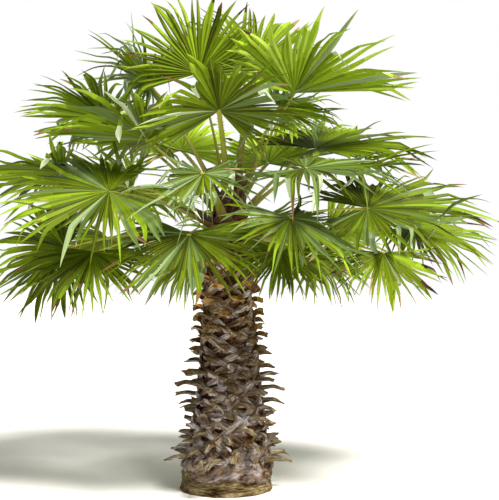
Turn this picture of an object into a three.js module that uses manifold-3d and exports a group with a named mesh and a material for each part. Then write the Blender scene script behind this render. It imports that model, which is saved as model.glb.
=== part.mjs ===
// Caranday palm: a young fan palm whose trunk is still clad in old leaf bases.
// Millimetres, +Z up. The origin is the centre of the flat cut at ground level, and -Y faces the viewer.
// A frond is a stalk and a pleated fan. Each is a solid of its own, and a fan's leaflets stop short of
// whatever stands in their way, so no two solids touch.
import * as THREE from "three";
import Module from "manifold-3d";

const wasm = await Module();
wasm.setup();

// The trunk, from the ground to the bud that the live stalks stand round.
const trunkTop = 1860;
const trunkSides = 16;
const trunkLean = 80; // the bud end bends over to the right by this
const trunkSway = 20; // and the bole sways to the right by this on its way up
const swayHeight = 1250;
const footFlare = 276;
const bossRadius = 267; // the swollen ring of old roots at the foot
const boleRadius = 236; // just above that ring
const neckRadius = 148; // below the crown
const budRadius = 34;

// Old leaf bases, in a spiral up the trunk.
const bootCount = 108;
const bootsFrom = 200;
const bootsTo = 1370;
const goldenAngle = 137.508;
const bootRootWidth = 122;
const bootTipWidth = 36;
const bootRootHeight = 104; // the clasping root runs down the trunk
const bootTipHeight = 13;
const bootShortest = 40;
const bootLongest = 150;
const bootUpperLongest = 66; // above the middle of the trunk they are worn shorter
const bootWornFrom = 500; // and these two heights are where that sets in and is complete
const bootWornBy = 1000;
const bootSink = 26; // how deep a root is sunk into the trunk
const bootRise = [0.05, 0.5]; // how steeply a stub rises
const bootSway = 0.22; // how far it swings to either side
const bootKnee = 0.5; // share of its length at which its upward bend eases
const kneeLift = 0.3; // the knee's and the tip's heights over the root, as shares of length times rise
const tipLift = 0.35;
const kneeWidthShare = 0.62; // the knee's section, as shares of the root's
const kneeHeightShare = 0.29;

// Stalks.
const heart = new THREE.Vector3(50, 0, 1750); // the point that every frond's rise is measured from
const lowestSeat = 1440; // where the lowest and the highest stalk leave the trunk
const highestSeat = 1800;
const lowestRise = -42;
const highestRise = 80;
const stalkArch = 0.1; // share of its length that a stalk bows upwards
const stalkSpans = 3;
const stalkSides = 6;
const stalkRootHalf = [34, 22]; // half width and half depth
const stalkTipHalf = [13, 10];
const neckHalf = [16, 14]; // the same at the neck of the fan that it meets
const gap = 0.35; // running clearance between neighbouring solids

// Fans.
const leafletCount = 26;
const openSpread = 150; // half angle that an open fan spans, in degrees
const steepSpread = 106; // the same on a fan that stands or hangs steeply
const steepFrom = 15; // the dips, up or down, from which a spread narrows and at which it has
const steepBy = 60;
const besideStalk = 27; // the least angle between the stalk and the leaflets beside it
const splitShare = 0.46; // share of a leaflet that is joined to its neighbours
const sideShorter = 0.3; // the leaflets beside the stalk are shorter by this share
const pleatDepth = 0.3; // depth of a pleat, as a share of its width
const foldRamp = 50; // degrees from the midline over which a fan's fold comes in
const bladeThickness = 8;
const hubThickness = 22;
const neckLength = 34; // from the hub back to the stalk's end
const droop = 0.09; // share of its reach that a leaflet's tip sinks
const leafletShares = [1, 0.86, 0.72, 0.58, 0.46, 0.34, 0.22, 0.12]; // lengths tried in turn
const leafletClearance = 5;
const joinedLimit = 0.8; // beside a shortened leaflet, the joined part ends at this share of it

// The fronds, lengths in millimetres and angles in degrees. An azimuth of 0 is to the right and -90 is
// towards the viewer. rise and stalk place the hub from the heart, and the rest turn the fan there:
// dip is the midline's own rise, turn swings it sideways, roll leans its left side up, and fold lifts
// both halves.
const fronds = [
  { azimuth: -103, rise: 52, stalk: 600, reach: 640, dip: 28, turn: 26, roll: 0, fold: -16 },
  { azimuth: 178, rise: 74, stalk: 770, reach: 560, dip: 76, turn: 92, roll: 0, fold: 4 },
  { azimuth: 62, rise: 74, stalk: 830, reach: 580, dip: 62, turn: 46, roll: 0, fold: 12 },
  { azimuth: 2, rise: 60, stalk: 720, reach: 800, dip: 3, turn: -4, roll: -4, fold: 35 },
  { azimuth: -160, rise: 31, stalk: 630, reach: 700, dip: 8, turn: -14, roll: 16, fold: 10 },
  { azimuth: -152, rise: 1, stalk: 800, reach: 690, dip: -6, turn: -20, roll: -32, fold: 0 },
  { azimuth: -105, rise: 9, stalk: 640, reach: 540, dip: -45, turn: -10, roll: 0, fold: 6 },
  { azimuth: -112, rise: -20, stalk: 680, reach: 570, dip: -44, turn: 10, roll: 0, fold: -4 },
  { azimuth: -176, rise: -17, stalk: 1050, reach: 540, dip: -22, turn: 0, roll: -48, fold: 0 },
  { azimuth: -160, rise: -21, stalk: 920, reach: 520, dip: -38, turn: 60, roll: 0, fold: 0 },
  { azimuth: -48, rise: 13, stalk: 620, reach: 780, dip: 0, turn: 26, roll: 12, fold: 2 },
  { azimuth: 27, rise: 29, stalk: 640, reach: 780, dip: 10, turn: -14, roll: 18, fold: 5 },
  { azimuth: -62, rise: -12, stalk: 690, reach: 560, dip: -34, turn: 14, roll: 0, fold: -4 },
  { azimuth: -2, rise: -5, stalk: 800, reach: 840, dip: 3, turn: -4, roll: 26, fold: 0 },
  { azimuth: -22, rise: -20, stalk: 980, reach: 420, dip: -46, turn: -58, roll: 0, fold: 0 },
  { azimuth: 14, rise: -8, stalk: 1160, reach: 580, dip: -6, turn: 0, roll: 32, fold: 0 },
  { azimuth: -54, rise: -35, stalk: 560, reach: 380, dip: -46, turn: -36, roll: 0, fold: 0 },
  { azimuth: 152, rise: 50, stalk: 960, reach: 560, dip: 32, turn: 20, roll: 30, fold: 8 },
  { azimuth: 158, rise: 30, stalk: 1020, reach: 600, dip: 4, turn: 10, roll: 24, fold: 8 },
  { azimuth: 178, rise: 8, stalk: 1050, reach: 640, dip: -6, turn: 0, roll: 14, fold: 6 },
  { azimuth: 72, rise: 20, stalk: 720, reach: 560, dip: 50, turn: 0, roll: -8, fold: 4 },
  { azimuth: 42, rise: 57, stalk: 680, reach: 440, dip: 6, turn: -30, roll: 34, fold: 0 },
  { azimuth: 118, rise: 24, stalk: 820, reach: 640, dip: 46, turn: 0, roll: 6, fold: 4 },
  { azimuth: 46, rise: -12, stalk: 900, reach: 640, dip: -20, turn: 0, roll: -20, fold: 4 },
  { azimuth: 138, rise: 6, stalk: 900, reach: 640, dip: -12, turn: 0, roll: 24, fold: 4 },
  { azimuth: 84, rise: -10, stalk: 900, reach: 640, dip: -34, turn: 0, roll: 0, fold: 4 },
  { azimuth: 52, rise: -24, stalk: 860, reach: 480, dip: -44, turn: 0, roll: 0, fold: 0 },
  { azimuth: 112, rise: -24, stalk: 860, reach: 460, dip: -44, turn: 0, roll: 0, fold: 0 },
  { azimuth: 166, rise: -17, stalk: 840, reach: 500, dip: -34, turn: -30, roll: 0, fold: 0 },
];

const up = new THREE.Vector3(0, 0, 1);
const radians = THREE.MathUtils.degToRad;
const { lerp, clamp } = THREE.MathUtils;

// An even, repeatable spread of values from 0 to 1.
const vary = (index, salt) => (index * 0.7548777 + salt * 0.5698403) % 1;

const outward = (azimuth) =>
  new THREE.Vector3(Math.cos(radians(azimuth)), Math.sin(radians(azimuth)), 0);

const towards = (azimuth, rise) =>
  outward(azimuth)
    .multiplyScalar(Math.cos(radians(rise)))
    .addScaledVector(up, Math.sin(radians(rise)));

// A closed solid from its vertices and triangles.
function solidFrom(vertices, triangles) {
  return new wasm.Manifold(
    new wasm.Mesh({
      numProp: 3,
      vertProperties: new Float32Array(vertices.flatMap((v) => v.toArray())),
      triVerts: new Uint32Array(triangles.flat()),
    }),
  );
}

// Rings of equal length, skinned one to the next and closed by a flat fan at each end. The rings run
// counter-clockwise as seen from the far end.
function loft(rings) {
  const sides = rings[0].length;
  const at = (ring, side) => ring * sides + (side % sides);
  const triangles = [];
  for (let ring = 0; ring < rings.length - 1; ring++) {
    for (let side = 0; side < sides; side++) {
      triangles.push([at(ring, side), at(ring, side + 1), at(ring + 1, side + 1)]);
      triangles.push([at(ring, side), at(ring + 1, side + 1), at(ring + 1, side)]);
    }
  }
  for (let side = 1; side < sides - 1; side++) {
    triangles.push([at(0, 0), at(0, side + 1), at(0, side)]);
    const last = rings.length - 1;
    triangles.push([at(last, 0), at(last, side), at(last, side + 1)]);
  }
  return solidFrom(rings.flat(), triangles);
}

// The trunk's centre line and its radius, both by height.
function trunkAxis(z) {
  const sway = trunkSway * Math.sin((Math.PI * z) / swayHeight);
  return new THREE.Vector3(sway + trunkLean * (z / trunkTop) ** 6, 0, z);
}

// Heights and radii: the flared foot, the boss, the bole that narrows to the neck, and the bud.
const trunkProfile = [
  [0, footFlare],
  [45, bossRadius - 4],
  [110, bossRadius + 2],
  [180, bossRadius - 3],
  [235, boleRadius + 4],
  [400, boleRadius - 14],
  [560, boleRadius - 42],
  [780, neckRadius + 30],
  [1000, neckRadius + 16],
  [1160, neckRadius + 3],
  [1360, neckRadius - 2],
  [1520, 126],
  [1680, 94],
  [1800, 62],
  [trunkTop, budRadius],
];

function trunkRadius(z) {
  const next = Math.max(1, trunkProfile.findIndex(([height]) => height >= z));
  const [lowZ, lowRadius] = trunkProfile[next - 1];
  const [highZ, highRadius] = trunkProfile[next];
  return lerp(lowRadius, highRadius, (z - lowZ) / (highZ - lowZ));
}

const trunkRing = (z, grow) =>
  Array.from({ length: trunkSides }, (_, side) =>
    trunkAxis(z)
      .addScaledVector(outward((360 * side) / trunkSides), trunkRadius(z) + grow)
      .addScaledVector(up, z === trunkTop ? grow : 0),
  );

const bareTrunk = (grow) => loft(trunkProfile.map(([z]) => trunkRing(z, grow)));

// A flat-sided section, centred on a point, across a direction.
function section(centre, side, high, halfWidth, halfDepth) {
  const corners = [
    [-1, -1],
    [1, -1],
    [1, 1],
    [-1, 1],
  ];
  return corners.map(([a, b]) =>
    centre.clone().addScaledVector(side, a * halfWidth).addScaledVector(high, b * halfDepth),
  );
}

// One old leaf base: a clasping root that narrows to a stub, bowed down a little at its end.
function boot(index) {
  const z = lerp(bootsFrom, bootsTo, index / (bootCount - 1));
  const azimuth = index * goldenAngle;
  const out = outward(azimuth);
  const side = outward(azimuth + 90);
  const surface = trunkAxis(z).addScaledVector(out, trunkRadius(z));
  const worn = clamp((z - bootWornFrom) / (bootWornBy - bootWornFrom), 0, 1);
  const longest = lerp(bootLongest, bootUpperLongest, worn);
  const length = lerp(bootShortest, longest, vary(index, 1) ** 2);
  const lift = lerp(...bootRise, vary(index, 2)) * length;
  const sway = lerp(-bootSway, bootSway, vary(index, 3));
  const ring = (reach, height, width, depth) => {
    const centre = surface
      .clone()
      .addScaledVector(out, reach)
      .addScaledVector(side, sway * reach)
      .addScaledVector(up, height);
    return section(centre, side, up, width / 2, depth / 2);
  };
  return loft([
    ring(-bootSink, -bootRootHeight / 2, bootRootWidth, bootRootHeight),
    ring(
      bootKnee * length,
      kneeLift * lift,
      kneeWidthShare * bootRootWidth,
      kneeHeightShare * bootRootHeight,
    ),
    ring(length, tipLift * lift, bootTipWidth, bootTipHeight),
  ]);
}

// The frame of a frond: where its stalk leaves the trunk, its hub, and the axes of its fan.
function frondFrame(frond) {
  const hub = heart.clone().addScaledVector(towards(frond.azimuth, frond.rise), frond.stalk);
  const seatShare = (frond.rise - lowestRise) / (highestRise - lowestRise);
  const seatZ = lerp(lowestSeat, highestSeat, seatShare);
  const seat = trunkAxis(seatZ).addScaledVector(outward(frond.azimuth), trunkRadius(seatZ) - bootSink);
  const bow = seat
    .clone()
    .lerp(hub, 0.5)
    .addScaledVector(up, stalkArch * frond.stalk);
  const arrival = hub.clone().sub(bow).normalize();
  const along = towards(frond.azimuth + frond.turn, frond.dip);
  const level = outward(frond.azimuth + frond.turn + 90);
  const above = along.clone().cross(level);
  const left = level
    .clone()
    .multiplyScalar(Math.cos(radians(frond.roll)))
    .addScaledVector(above, Math.sin(radians(frond.roll)));
  const steepness = clamp((Math.abs(frond.dip) - steepFrom) / (steepBy - steepFrom), 0, 1);
  const stalkAngle = THREE.MathUtils.radToDeg(Math.atan2(Math.abs(arrival.dot(left)), -arrival.dot(along)));
  return {
    ...frond,
    hub,
    seat,
    bow,
    arrival,
    along,
    left,
    normal: along.clone().cross(left),
    spread: Math.min(lerp(openSpread, steepSpread, steepness), stalkAngle - besideStalk),
  };
}

// A stalk: a tapering limb on a bowed line that ends at the fan's neck. grow is added all round.
function bareStalk(frame, grow) {
  const end = frame.hub.clone().addScaledVector(frame.arrival, -neckLength - gap);
  const line = new THREE.QuadraticBezierCurve3(frame.seat, frame.bow, end);
  const rings = [];
  for (let step = 0; step <= stalkSpans; step++) {
    const t = step / stalkSpans;
    const heading = step === stalkSpans ? frame.arrival : line.getTangent(t);
    const side = up.clone().cross(heading).normalize();
    const high = heading.clone().cross(side);
    const swell = (1 - t) ** 3;
    const halfWidth = lerp(stalkTipHalf[0], stalkRootHalf[0], swell) + grow;
    const halfDepth = lerp(stalkTipHalf[1], stalkRootHalf[1], swell) + grow;
    const ring = [];
    for (let corner = 0; corner < stalkSides; corner++) {
      const angle = radians((360 * corner) / stalkSides);
      ring.push(
        line
          .getPoint(t)
          .addScaledVector(side, halfWidth * Math.cos(angle))
          .addScaledVector(high, halfDepth * Math.sin(angle)),
      );
    }
    rings.push(ring);
  }
  return loft(rings);
}

const largest = (pieces) => pieces.reduce((best, piece) => (piece.volume() > best.volume() ? piece : best));

// The stalks crowd together at the bud, so each is cut clear of the trunk and of those before it.
function stalksOf(frames) {
  const taken = [bareTrunk(2 * gap)];
  return frames.map((frame) => {
    const solid = largest(bareStalk(frame, 0).subtract(wasm.Manifold.union(taken)).decompose());
    taken.push(bareStalk(frame, 2 * gap));
    return solid;
  });
}

// A point of a fan, from its angle off the midline, its distance from the hub and its lift off the blade.
function fanPoint(frame, angle, distance, lift) {
  const theta = radians(angle);
  const fold = radians(frame.fold * Math.min(1, Math.abs(angle) / foldRamp));
  const across = Math.sin(theta);
  const sink = droop * frame.reach * (distance / frame.reach) ** 3;
  return frame.hub
    .clone()
    .addScaledVector(frame.along, distance * Math.cos(theta))
    .addScaledVector(frame.left, distance * across * Math.cos(fold))
    .addScaledVector(frame.normal, distance * Math.abs(across) * Math.sin(fold))
    .addScaledVector(frame.normal, lift * Math.cos(fold))
    .addScaledVector(frame.left, -lift * Math.sign(angle) * Math.sin(fold))
    .addScaledVector(up, -sink);
}

// A fan as one pleated blade. shares gives each leaflet's length, as a share of its full one. Without
// a neck it is closed by plain walls, which is how one leaflet is tried alone.
function fanSolid(frame, shares, first, withNeck) {
  const vertices = [];
  const triangles = [];
  const add = (point) => vertices.push(point) - 1;
  const pair = (angle, distance, lift, thickness) => ({
    top: add(fanPoint(frame, angle, distance, lift + thickness / 2)),
    low: add(fanPoint(frame, angle, distance, lift - thickness / 2)),
  });
  const step = (2 * frame.spread) / leafletCount;
  const angleOf = (index) => -frame.spread + step * index;
  const fullLength = (angle) => frame.reach * (1 - sideShorter * (Math.abs(angle) / openSpread) ** 2);
  const joined = (index) => {
    const beside = [shares[index - 1], shares[index]].filter((share) => share !== undefined);
    const share = Math.min(1, ...beside.map((value) => (joinedLimit * value) / splitShare));
    return splitShare * fullLength(angleOf(first + index)) * share;
  };
  const pleat = (distance) => (pleatDepth * distance * radians(step)) / 2;
  const apex = pair(0, 0, 0, hubThickness);
  const edge = (index) => {
    const distance = joined(index);
    return pair(angleOf(first + index), distance, pleat(distance), bladeThickness);
  };
  const outline = [edge(0)];
  const skin = (a, b, c) => {
    triangles.push([a.top, b.top, c.top]);
    triangles.push([a.low, c.low, b.low]);
  };
  shares.forEach((share, index) => {
    const angle = angleOf(first + index + 0.5);
    const before = outline[outline.length - 1];
    const after = edge(index + 1);
    const middle = (joined(index) + joined(index + 1)) / 2;
    const rib = pair(angle, middle, -pleat(middle), bladeThickness);
    const point = add(fanPoint(frame, angle, fullLength(angle) * share, 0));
    const tip = { top: point, low: point };
    skin(apex, before, rib);
    skin(before, tip, rib);
    skin(rib, tip, after);
    skin(apex, rib, after);
    outline.push(tip, after);
  });
  if (withNeck) {
    const end = frame.hub.clone().addScaledVector(frame.arrival, -neckLength);
    const side = frame.left.clone().projectOnPlane(frame.arrival).normalize();
    const high = frame.arrival.clone().cross(side);
    const [halfWidth, halfDepth] = neckHalf;
    const corner = (a, b) =>
      add(end.clone().addScaledVector(side, a * halfWidth).addScaledVector(high, b * halfDepth));
    const neck = [1, -1].map((a) => ({ top: corner(a, 1), low: corner(a, -1) }));
    skin(apex, outline[outline.length - 1], neck[0]);
    skin(apex, neck[0], neck[1]);
    skin(apex, neck[1], outline[0]);
    outline.push(...neck);
  } else {
    outline.push(apex);
  }
  outline.forEach((a, index) => {
    const b = outline[(index + 1) % outline.length];
    if (b.top !== b.low) triangles.push([a.low, b.low, b.top]);
    if (a.top !== a.low) triangles.push([a.low, b.top, a.top]);
  });
  return solidFrom(vertices, triangles);
}

// Whether a solid comes closer to any of the others than the clearance.
function touches(solid, others) {
  const box = solid.boundingBox();
  return others.some((other) => {
    const apart = [0, 1, 2].some(
      (axis) =>
        other.box.min[axis] > box.max[axis] + leafletClearance ||
        other.box.max[axis] < box.min[axis] - leafletClearance,
    );
    return !apart && solid.minGap(other.solid, leafletClearance) < leafletClearance;
  });
}

// Each leaflet takes the longest share of its length that keeps clear of what is already there.
function fan(frame, others) {
  const shares = Array.from({ length: leafletCount }, (_, index) =>
    leafletShares.find(
      (share) =>
        share === leafletShares.at(-1) || !touches(fanSolid(frame, [share], index, false), others),
    ),
  );
  return fanSolid(frame, shares, 0, true);
}

function meshOf(name, solid, material) {
  const made = solid.getMesh();
  const geometry = new THREE.BufferGeometry();
  geometry.setAttribute("position", new THREE.BufferAttribute(new Float32Array(made.vertProperties), 3));
  geometry.setIndex(new THREE.BufferAttribute(new Uint32Array(made.triVerts), 1));
  geometry.computeVertexNormals();
  const mesh = new THREE.Mesh(geometry, material);
  mesh.name = name;
  return mesh;
}

const materials = {
  bark: new THREE.MeshStandardMaterial({ color: 0x7a6a5c, roughness: 0.95, metalness: 0 }),
  stalk: new THREE.MeshStandardMaterial({ color: 0x9a8a2c, roughness: 0.6, metalness: 0 }),
  leaf: new THREE.MeshStandardMaterial({ color: 0x5f8c1e, roughness: 0.55, metalness: 0 }),
};

const boots = Array.from({ length: bootCount }, (_, index) => boot(index));
const trunk = wasm.Manifold.union([bareTrunk(0), ...boots]);

const palm = new THREE.Group();
palm.name = "caranday_palm";
palm.add(meshOf("trunk", trunk, materials.bark));

const frames = fronds.map(frondFrame);
const boxed = (solid) => ({ solid, box: solid.boundingBox() });
const number = (index) => String(index + 1).padStart(2, "0");
const stalks = stalksOf(frames).map(boxed);
const fans = [];
frames.forEach((frame, index) => {
  const others = [boxed(trunk), ...stalks.filter((_, other) => other !== index), ...fans];
  fans.push(boxed(fan(frame, others)));
  palm.add(meshOf(`stalk_${number(index)}`, stalks[index].solid, materials.stalk));
  palm.add(meshOf(`fan_${number(index)}`, fans[index].solid, materials.leaf));
});

export default palm;
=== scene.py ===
import math

import bpy
import numpy as np
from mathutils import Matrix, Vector, noise
from mathutils.bvhtree import BVHTree


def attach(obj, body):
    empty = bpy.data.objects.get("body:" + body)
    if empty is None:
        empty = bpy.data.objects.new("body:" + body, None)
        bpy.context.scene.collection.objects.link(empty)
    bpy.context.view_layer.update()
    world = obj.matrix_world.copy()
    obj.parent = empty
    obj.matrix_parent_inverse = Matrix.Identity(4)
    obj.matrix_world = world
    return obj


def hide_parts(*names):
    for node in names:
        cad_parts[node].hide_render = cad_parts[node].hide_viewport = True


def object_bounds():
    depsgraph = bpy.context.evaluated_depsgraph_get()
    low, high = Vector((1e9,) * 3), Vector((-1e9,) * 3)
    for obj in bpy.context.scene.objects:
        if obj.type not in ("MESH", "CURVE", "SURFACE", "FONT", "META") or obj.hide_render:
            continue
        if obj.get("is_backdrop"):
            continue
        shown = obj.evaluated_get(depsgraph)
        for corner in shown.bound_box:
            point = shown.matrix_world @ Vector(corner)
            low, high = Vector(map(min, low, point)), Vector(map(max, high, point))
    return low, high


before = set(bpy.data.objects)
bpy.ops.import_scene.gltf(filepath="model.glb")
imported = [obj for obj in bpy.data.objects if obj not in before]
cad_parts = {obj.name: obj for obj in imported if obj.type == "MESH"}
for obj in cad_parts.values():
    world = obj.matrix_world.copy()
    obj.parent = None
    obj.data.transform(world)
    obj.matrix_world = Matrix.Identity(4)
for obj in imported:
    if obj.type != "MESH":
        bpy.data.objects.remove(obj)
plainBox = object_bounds()
dice = np.random.default_rng(29)
noise.seed_set(29)  # without it noise_vector starts from the clock
up = np.array([0.0, 0.0, 1.0])


# Small helpers

def mix(low, high, share):
    return low + (high - low) * share


def ease(value, start, end):
    t = np.clip((value - start) / (end - start), 0, 1)
    return t * t * (3 - 2 * t)


def unit(vector):
    return vector / np.linalg.norm(vector)


def towards(azimuth, rise=0.0):
    a, r = np.radians(azimuth), np.radians(rise)
    return np.stack([np.cos(a) * np.cos(r), np.sin(a) * np.cos(r), np.sin(r) + 0 * a], axis=-1)


def vary(index, salt):  # the same even spread of values as the solids use
    return (index * 0.7548777 + salt * 0.5698403) % 1


def pick(span, index, salt):
    return mix(*span, vary(index, salt))


def stray(width, index, salt):
    return width * (vary(index, salt) - 0.5)


def turned(points, pivots, axis, angles):  # each row of points turned about its pivot by its own angle
    arms = points - pivots[:, None]
    c, s = np.cos(angles)[:, None, None], np.sin(angles)[:, None, None]
    along = (arms @ axis)[..., None] * axis
    return pivots[:, None] + arms * c + np.cross(axis, arms) * s + along * (1 - c)


def newShape():
    return {"vertices": [], "faces": [], "slots": [], "grain": []}


def addFaces(shape, points, faces, slots):
    first = len(shape["vertices"])
    shape["vertices"].extend(map(tuple, points))
    shape["faces"].extend(tuple(first + corner for corner in face) for face in faces)
    shape["slots"].extend(slots)


def addRings(shape, rings, grain, slotOf, endSlots):  # a closed skin over rings of points
    rows, around = len(rings) - 1, len(rings[0])
    faces, slots = [], []
    for row in range(rows):
        a = row * around
        for k in range(around):
            n = (k + 1) % around
            faces.append((a + k, a + n, a + around + n, a + around + k))
            slots.append(slotOf(row, k))
    ends = [range(around)[::-1], range(rows * around, (rows + 1) * around)]
    addFaces(shape, np.concatenate(rings), faces + ends, slots + endSlots)
    shape["grain"].extend(map(tuple, np.concatenate(grain)))


def makePiece(name, shape, materials, smooth):
    mesh = bpy.data.meshes.new(name)
    mesh.from_pydata(shape["vertices"], [], shape["faces"])
    for material in materials:
        mesh.materials.append(material)
    mesh.polygons.foreach_set("material_index", shape["slots"])
    if shape["grain"]:
        grain = mesh.attributes.new("grain", "FLOAT_VECTOR", "POINT")
        grain.data.foreach_set("vector", np.ravel(shape["grain"]))
    piece = bpy.data.objects.new(name, mesh)
    bpy.context.scene.collection.objects.link(piece)
    return finishPiece(piece, smooth)


def finishPiece(piece, smooth):
    bpy.ops.object.select_all(action="DESELECT")
    piece.select_set(True)
    bpy.context.view_layer.objects.active = piece
    bpy.ops.object.shade_smooth_by_angle(angle=math.radians(smooth))
    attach(piece, "root")
    return piece


# Nodes and materials

noiseGrit = 0.62


def feed(tree, node, settings):  # each input takes a plain value or another node's output
    for name, value in settings.items():
        if isinstance(value, bpy.types.NodeSocket):
            tree.links.new(value, node.inputs[name])
        else:
            node.inputs[name].default_value = value


def addNode(tree, kind, settings, output):
    node = tree.nodes.new("ShaderNode" + kind)
    feed(tree, node, settings)
    return node.outputs[output]


def addGrain(tree):  # a piece's own pattern: across, along, and a value for each base or band
    grain = tree.nodes.new("ShaderNodeAttribute")
    grain.attribute_name = "grain"
    return grain.outputs["Vector"]


def addNoise(tree, source, stretch, detail=4):
    place = addNode(tree, "Mapping", {"Vector": source, "Scale": stretch}, "Vector")
    settings = {"Vector": place, "Scale": 1, "Detail": detail, "Roughness": noiseGrit}
    return addNode(tree, "TexNoise", settings, "Fac")


def addMath(tree, kind, first, second):
    step = tree.nodes.new("ShaderNodeMath")
    step.operation = kind
    feed(tree, step, {0: first, 1: second})
    return step.outputs["Value"]


def addSpan(tree, value, low, high):  # 0 up to low, 1 from high on
    settings = {"Value": value, "From Min": low, "From Max": high}
    return addNode(tree, "MapRange", settings, "Result")


def addBlend(tree, kind, share, first, second):
    blend = tree.nodes.new("ShaderNodeMix")
    blend.data_type = "RGBA"
    blend.blend_type = kind
    feed(tree, blend, {"Factor": share, "A": first, "B": second})
    return blend.outputs["Result"]


def addRamp(tree, value, colours, low, high):
    ramp = tree.nodes.new("ShaderNodeValToRGB")
    steps = ramp.color_ramp.elements
    while len(steps) < len(colours):
        steps.new(0.5)
    for index, (element, colour) in enumerate(zip(steps, colours)):
        element.position = mix(low, high, index / (len(colours) - 1))
        element.color = (*colour, 1)
    feed(tree, ramp, {"Fac": value})
    return ramp.outputs["Color"]


def plainMaterial(name, colour, roughness, shine):
    material = bpy.data.materials.new(name)
    material.use_nodes = True
    settings = {"Base Color": (*colour, 1), "Roughness": roughness, "Specular IOR Level": shine}
    feed(material.node_tree, material.node_tree.nodes["Principled BSDF"], settings)
    return material


# Camera, floor and light

view = {
    "eye": (0.141, -7.0, 1.43), "lens": 84, "farthest": 100,
    "floorSize": 60, "floorPaint": ((0.9, 0.9, 0.9), 0.9, 0.5), "backdrop": (1, 1, 1, 1),
    "sky": ((0.42, 0.41, 0.36), (1.0, 0.99, 0.9)),  # at the horizon, and from skyTop upwards
    "skyTop": 0.8, "skyStrength": 0.54,
    "sunStrength": 5.5, "sunTurn": (math.radians(30), math.radians(24), 0),
    "sunColour": (1, 0.96, 0.88), "sunSoftness": math.radians(17),
}


def makeSky():  # a plain white backdrop that lights from above more than from the sides
    world = bpy.data.worlds.new("studio")
    world.use_nodes = True
    tree = world.node_tree
    around = addNode(tree, "TexCoord", {}, "Generated")
    height = addNode(tree, "SeparateXYZ", {"Vector": around}, "Z")
    colour = addRamp(tree, height, view["sky"], 0, view["skyTop"])
    feed(tree, tree.nodes["Background"], {"Color": colour, "Strength": view["skyStrength"]})
    glow = tree.nodes["Background"].outputs["Background"]
    backdrop = addNode(tree, "Background", {"Color": view["backdrop"]}, "Background")
    seen = addNode(tree, "LightPath", {}, "Is Camera Ray")
    either = addNode(tree, "MixShader", {"Fac": seen, 1: glow, 2: backdrop}, "Shader")
    feed(tree, tree.nodes["World Output"], {"Surface": either})
    bpy.context.scene.world = world


def makeView():
    bpy.ops.object.camera_add(location=view["eye"], rotation=(math.radians(90), 0, 0))
    camera = bpy.context.object
    camera.data.lens = view["lens"]
    camera.data.clip_end = view["farthest"]
    bpy.context.scene.camera = camera
    bpy.ops.object.light_add(type="SUN", rotation=view["sunTurn"])
    sun = bpy.context.object.data
    sun.energy = view["sunStrength"]
    sun.angle = view["sunSoftness"]
    sun.color = view["sunColour"]
    makeSky()
    bpy.context.scene.view_settings.view_transform = "Standard"
    bpy.ops.mesh.primitive_plane_add(size=view["floorSize"], location=(0, 0, 0))
    floor = bpy.context.object
    floor.name = "floor"
    floor.data.materials.append(plainMaterial("pale floor", *view["floorPaint"]))
    floor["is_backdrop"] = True


makeView()
print("view ready")


# Bark

barkPaint = {
    "roughness": 0.9, "shine": 0.12, "patchShare": 0.55, "streakShare": 0.45, "reliefDepth": 0.004,
    "ramp": (0.4, 0.6),  # the part of a noise's range that takes the colours from first to last
    "stainScale": (14, 14, 22), "stainSpan": (0.42, 0.62),
}


def barkMaterial(name, look):  # broad patches and fine streaks that run along each base or band
    material = plainMaterial(name, look["colours"][1], barkPaint["roughness"], barkPaint["shine"])
    tree = material.node_tree
    place = addNode(tree, "TexCoord", {}, "Object")
    source = addGrain(tree) if look["along"] else place
    patches = addNoise(tree, source, look["patch"], 5)
    streaks = addNoise(tree, source, look["streak"])
    patchPart = addMath(tree, "MULTIPLY", patches, barkPaint["patchShare"])
    streakPart = addMath(tree, "MULTIPLY", streaks, barkPaint["streakShare"])
    shade = addMath(tree, "ADD", patchPart, streakPart)
    colour = addRamp(tree, shade, look["colours"], *barkPaint["ramp"])
    if "high" in look:  # a second look that comes in above a height
        height = addNode(tree, "SeparateXYZ", {"Vector": place}, "Z")
        share = addSpan(tree, height, look["from"], look["by"])
        colour = addBlend(tree, "MIX", share, colour, addRamp(tree, shade, look["high"], *barkPaint["ramp"]))
    if "tint" in look:  # broad stains over many bases
        stains = addNoise(tree, place, barkPaint["stainScale"])
        share = addSpan(tree, stains, *barkPaint["stainSpan"])
        colour = addBlend(tree, "MULTIPLY", share, colour, (*look["tint"], 1))
    bump = {"Strength": look["bump"], "Distance": barkPaint["reliefDepth"], "Height": streaks}
    normal = addNode(tree, "Bump", bump, "Normal")
    feed(tree, tree.nodes["Principled BSDF"], {"Base Color": colour, "Normal": normal})
    return material


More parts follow.
